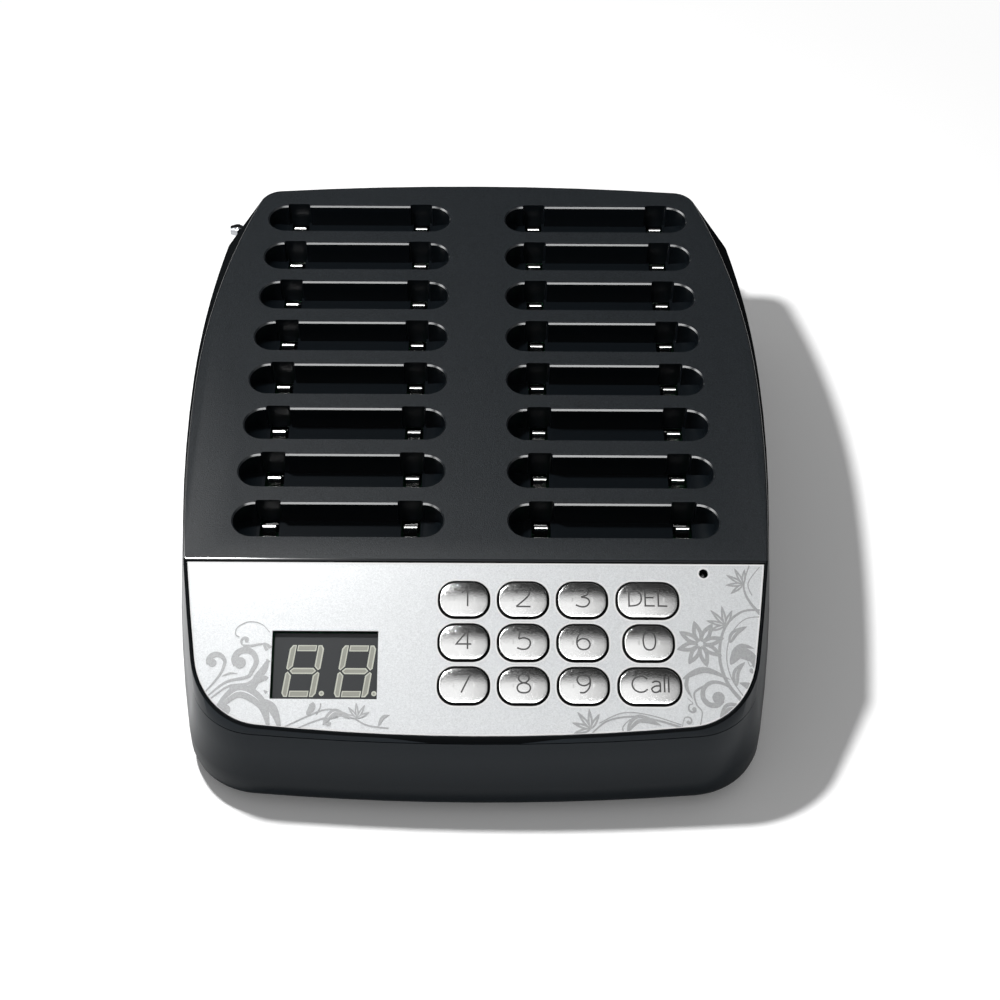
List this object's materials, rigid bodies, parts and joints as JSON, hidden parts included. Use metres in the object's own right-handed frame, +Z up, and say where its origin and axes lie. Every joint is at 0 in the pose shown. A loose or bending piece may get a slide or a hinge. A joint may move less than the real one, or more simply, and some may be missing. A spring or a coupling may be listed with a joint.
{
  "type": "keypad transmitter and charging base for guest pagers",
  "caption": "Counter unit with rows of open slots that hold and charge pagers, a sloping keypad panel with a small number display, and a folded telescopic antenna.",
  "frame": {"origin": "under the middle of the whole box, antenna included, on the plane of the feet", "axes": "+X to the right as the user faces the keypad, +Y to the rear (deck and antenna), +Z up"},
  "size_m": [0.2612, 0.3048, 0.0879],
  "materials": {
    "case_top": "fine grain",
    "case_base": "fine grain",
    "silver": "silver print, satin",
    "display_black": "satin",
    "segments": "unlit, milky",
    "silicone": "matt",
    "circuit_board": "green solder mask",
    "led": "clear lens",
    "black_plastic": "satin",
    "screw_steel": "zinc plated",
    "feet_rubber": "matt",
    "antenna_metal": "polished",
    "key_silver": "silver paint, satin",
    "contact_metal": "nickel plated"
  },
  "bodies": {
    "case": {"top_cover": "case_top", "base_housing": "case_base", "silver_panel": "silver", "display_module": "display_black", "display_segments": "segments", "keypad_mat": "silicone", "main_board": "circuit_board", "indicator_led": "led", "buzzer": "black_plastic", "charging_board": "circuit_board", "contact_holders": "black_plastic", "case_screws": "screw_steel", "board_screws": "screw_steel", "rubber_feet": "feet_rubber", "dc_jack": "black_plastic", "power_switch_frame": "black_plastic", "antenna_bush": "antenna_metal", "antenna_nut": "antenna_metal"},
    "key_1": {"key_1": "key_silver"},
    "key_2": {"key_2": "key_silver"},
    "key_3": {"key_3": "key_silver"},
    "key_delete": {"key_delete": "key_silver"},
    "key_4": {"key_4": "key_silver"},
    "key_5": {"key_5": "key_silver"},
    "key_6": {"key_6": "key_silver"},
    "key_0": {"key_0": "key_silver"},
    "key_7": {"key_7": "key_silver"},
    "key_8": {"key_8": "key_silver"},
    "key_9": {"key_9": "key_silver"},
    "key_call": {"key_call": "key_silver"},
    "contacts_l1": {"contacts_l1": "contact_metal"},
    "contacts_l2": {"contacts_l2": "contact_metal"},
    "contacts_l3": {"contacts_l3": "contact_metal"},
    "contacts_l4": {"contacts_l4": "contact_metal"},
    "contacts_l5": {"contacts_l5": "contact_metal"},
    "contacts_l6": {"contacts_l6": "contact_metal"},
    "contacts_l7": {"contacts_l7": "contact_metal"},
    "contacts_l8": {"contacts_l8": "contact_metal"},
    "contacts_r1": {"contacts_r1": "contact_metal"},
    "contacts_r2": {"contacts_r2": "contact_metal"},
    "contacts_r3": {"contacts_r3": "contact_metal"},
    "contacts_r4": {"contacts_r4": "contact_metal"},
    "contacts_r5": {"contacts_r5": "contact_metal"},
    "contacts_r6": {"contacts_r6": "contact_metal"},
    "contacts_r7": {"contacts_r7": "contact_metal"},
    "contacts_r8": {"contacts_r8": "contact_metal"},
    "power_rocker": {"power_rocker": "black_plastic"},
    "antenna_swivel": {"antenna_swivel": "antenna_metal", "antenna_pin": "screw_steel"},
    "antenna_tube_1": {"antenna_tube_1": "antenna_metal"},
    "antenna_tube_2": {"antenna_tube_2": "antenna_metal"},
    "antenna_tube_3": {"antenna_tube_3": "antenna_metal"},
    "antenna_tube_4": {"antenna_tube_4": "antenna_metal"},
    "antenna_tip": {"antenna_tip": "antenna_metal"}
  },
  "joints": [
    {"name": "key_1_press", "type": "slide", "parent": "case", "child": "key_1", "axis": [0, 0.421, -0.907], "range_m": [0, 0.0012], "stiffness_N_per_m": 600, "springref_m": -0.0004},
    {"name": "key_2_press", "type": "slide", "parent": "case", "child": "key_2", "axis": [0, 0.421, -0.907], "range_m": [0, 0.0012], "stiffness_N_per_m": 600, "springref_m": -0.0004},
    {"name": "key_3_press", "type": "slide", "parent": "case", "child": "key_3", "axis": [0, 0.421, -0.907], "range_m": [0, 0.0012], "stiffness_N_per_m": 600, "springref_m": -0.0004},
    {"name": "key_delete_press", "type": "slide", "parent": "case", "child": "key_delete", "axis": [0, 0.421, -0.907], "range_m": [0, 0.0012], "stiffness_N_per_m": 600, "springref_m": -0.0004},
    {"name": "key_4_press", "type": "slide", "parent": "case", "child": "key_4", "axis": [0, 0.421, -0.907], "range_m": [0, 0.0012], "stiffness_N_per_m": 600, "springref_m": -0.0004},
    {"name": "key_5_press", "type": "slide", "parent": "case", "child": "key_5", "axis": [0, 0.421, -0.907], "range_m": [0, 0.0012], "stiffness_N_per_m": 600, "springref_m": -0.0004},
    {"name": "key_6_press", "type": "slide", "parent": "case", "child": "key_6", "axis": [0, 0.421, -0.907], "range_m": [0, 0.0012], "stiffness_N_per_m": 600, "springref_m": -0.0004},
    {"name": "key_0_press", "type": "slide", "parent": "case", "child": "key_0", "axis": [0, 0.421, -0.907], "range_m": [0, 0.0012], "stiffness_N_per_m": 600, "springref_m": -0.0004},
    {"name": "key_7_press", "type": "slide", "parent": "case", "child": "key_7", "axis": [0, 0.421, -0.907], "range_m": [0, 0.0012], "stiffness_N_per_m": 600, "springref_m": -0.0004},
    {"name": "key_8_press", "type": "slide", "parent": "case", "child": "key_8", "axis": [0, 0.421, -0.907], "range_m": [0, 0.0012], "stiffness_N_per_m": 600, "springref_m": -0.0004},
    {"name": "key_9_press", "type": "slide", "parent": "case", "child": "key_9", "axis": [0, 0.421, -0.907], "range_m": [0, 0.0012], "stiffness_N_per_m": 600, "springref_m": -0.0004},
    {"name": "key_call_press", "type": "slide", "parent": "case", "child": "key_call", "axis": [0, 0.421, -0.907], "range_m": [0, 0.0012], "stiffness_N_per_m": 600, "springref_m": -0.0004},
    {"name": "contacts_l1_bend", "type": "hinge", "parent": "case", "child": "contacts_l1", "pos_m": [-0.0548, 0.12857, 0.07016], "axis": [1, 0, 0], "range_deg": [0, 8], "stiffness_Nm_per_rad": 0.1, "springref_deg": -1.72},
    {"name": "contacts_l2_bend", "type": "hinge", "parent": "case", "child": "contacts_l2", "pos_m": [-0.0548, 0.10295, 0.06821], "axis": [1, 0, 0], "range_deg": [0, 8], "stiffness_Nm_per_rad": 0.1, "springref_deg": -1.72},
    {"name": "contacts_l3_bend", "type": "hinge", "parent": "case", "child": "contacts_l3", "pos_m": [-0.0548, 0.07732, 0.06626], "axis": [1, 0, 0], "range_deg": [0, 8], "stiffness_Nm_per_rad": 0.1, "springref_deg": -1.72},
    {"name": "contacts_l4_bend", "type": "hinge", "parent": "case", "child": "contacts_l4", "pos_m": [-0.0548, 0.05169, 0.06431], "axis": [1, 0, 0], "range_deg": [0, 8], "stiffness_Nm_per_rad": 0.1, "springref_deg": -1.72},
    {"name": "contacts_l5_bend", "type": "hinge", "parent": "case", "child": "contacts_l5", "pos_m": [-0.0548, 0.02607, 0.06236], "axis": [1, 0, 0], "range_deg": [0, 8], "stiffness_Nm_per_rad": 0.1, "springref_deg": -1.72},
    {"name": "contacts_l6_bend", "type": "hinge", "parent": "case", "child": "contacts_l6", "pos_m": [-0.0548, 0.00044, 0.06041], "axis": [1, 0, 0], "range_deg": [0, 8], "stiffness_Nm_per_rad": 0.1, "springref_deg": -1.72},
    {"name": "contacts_l7_bend", "type": "hinge", "parent": "case", "child": "contacts_l7", "pos_m": [-0.0548, -0.02518, 0.05846], "axis": [1, 0, 0], "range_deg": [0, 8], "stiffness_Nm_per_rad": 0.1, "springref_deg": -1.72},
    {"name": "contacts_l8_bend", "type": "hinge", "parent": "case", "child": "contacts_l8", "pos_m": [-0.0548, -0.05081, 0.05651], "axis": [1, 0, 0], "range_deg": [0, 8], "stiffness_Nm_per_rad": 0.1, "springref_deg": -1.72},
    {"name": "contacts_r1_bend", "type": "hinge", "parent": "case", "child": "contacts_r1", "pos_m": [0.0548, 0.12857, 0.07016], "axis": [1, 0, 0], "range_deg": [0, 8], "stiffness_Nm_per_rad": 0.1, "springref_deg": -1.72},
    {"name": "contacts_r2_bend", "type": "hinge", "parent": "case", "child": "contacts_r2", "pos_m": [0.0548, 0.10295, 0.06821], "axis": [1, 0, 0], "range_deg": [0, 8], "stiffness_Nm_per_rad": 0.1, "springref_deg": -1.72},
    {"name": "contacts_r3_bend", "type": "hinge", "parent": "case", "child": "contacts_r3", "pos_m": [0.0548, 0.07732, 0.06626], "axis": [1, 0, 0], "range_deg": [0, 8], "stiffness_Nm_per_rad": 0.1, "springref_deg": -1.72},
    {"name": "contacts_r4_bend", "type": "hinge", "parent": "case", "child": "contacts_r4", "pos_m": [0.0548, 0.05169, 0.06431], "axis": [1, 0, 0], "range_deg": [0, 8], "stiffness_Nm_per_rad": 0.1, "springref_deg": -1.72},
    {"name": "contacts_r5_bend", "type": "hinge", "parent": "case", "child": "contacts_r5", "pos_m": [0.0548, 0.02607, 0.06236], "axis": [1, 0, 0], "range_deg": [0, 8], "stiffness_Nm_per_rad": 0.1, "springref_deg": -1.72},
    {"name": "contacts_r6_bend", "type": "hinge", "parent": "case", "child": "contacts_r6", "pos_m": [0.0548, 0.00044, 0.06041], "axis": [1, 0, 0], "range_deg": [0, 8], "stiffness_Nm_per_rad": 0.1, "springref_deg": -1.72},
    {"name": "contacts_r7_bend", "type": "hinge", "parent": "case", "child": "contacts_r7", "pos_m": [0.0548, -0.02518, 0.05846], "axis": [1, 0, 0], "range_deg": [0, 8], "stiffness_Nm_per_rad": 0.1, "springref_deg": -1.72},
    {"name": "contacts_r8_bend", "type": "hinge", "parent": "case", "child": "contacts_r8", "pos_m": [0.0548, -0.05081, 0.05651], "axis": [1, 0, 0], "range_deg": [0, 8], "stiffness_Nm_per_rad": 0.1, "springref_deg": -1.72},
    {"name": "power_rocker_tilt", "type": "hinge", "parent": "case", "child": "power_rocker", "pos_m": [-0.018, 0.13941, 0.028], "axis": [0, 0, -1], "range_deg": [0, 18]},
    {"name": "antenna_turn", "type": "hinge", "parent": "case", "child": "antenna_swivel", "pos_m": [0.098, 0.1489, 0.0545], "axis": [0, 1, 0], "range_deg": [0, 180]},
    {"name": "antenna_fold", "type": "hinge", "parent": "antenna_swivel", "child": "antenna_tube_1", "pos_m": [0.098, 0.1489, 0.0545], "axis": [0, 0, -1], "range_deg": [0, 90]},
    {"name": "antenna_tube_2_slide", "type": "slide", "parent": "antenna_tube_1", "child": "antenna_tube_2", "axis": [-1, 0, 0], "range_m": [0, 0.17]},
    {"name": "antenna_tube_3_slide", "type": "slide", "parent": "antenna_tube_2", "child": "antenna_tube_3", "axis": [-1, 0, 0], "range_m": [0, 0.17]},
    {"name": "antenna_tube_4_slide", "type": "slide", "parent": "antenna_tube_3", "child": "antenna_tube_4", "axis": [-1, 0, 0], "range_m": [0, 0.17]},
    {"name": "antenna_tip_slide", "type": "slide", "parent": "antenna_tube_4", "child": "antenna_tip", "axis": [-1, 0, 0], "range_m": [0, 0.17]}
  ]
}
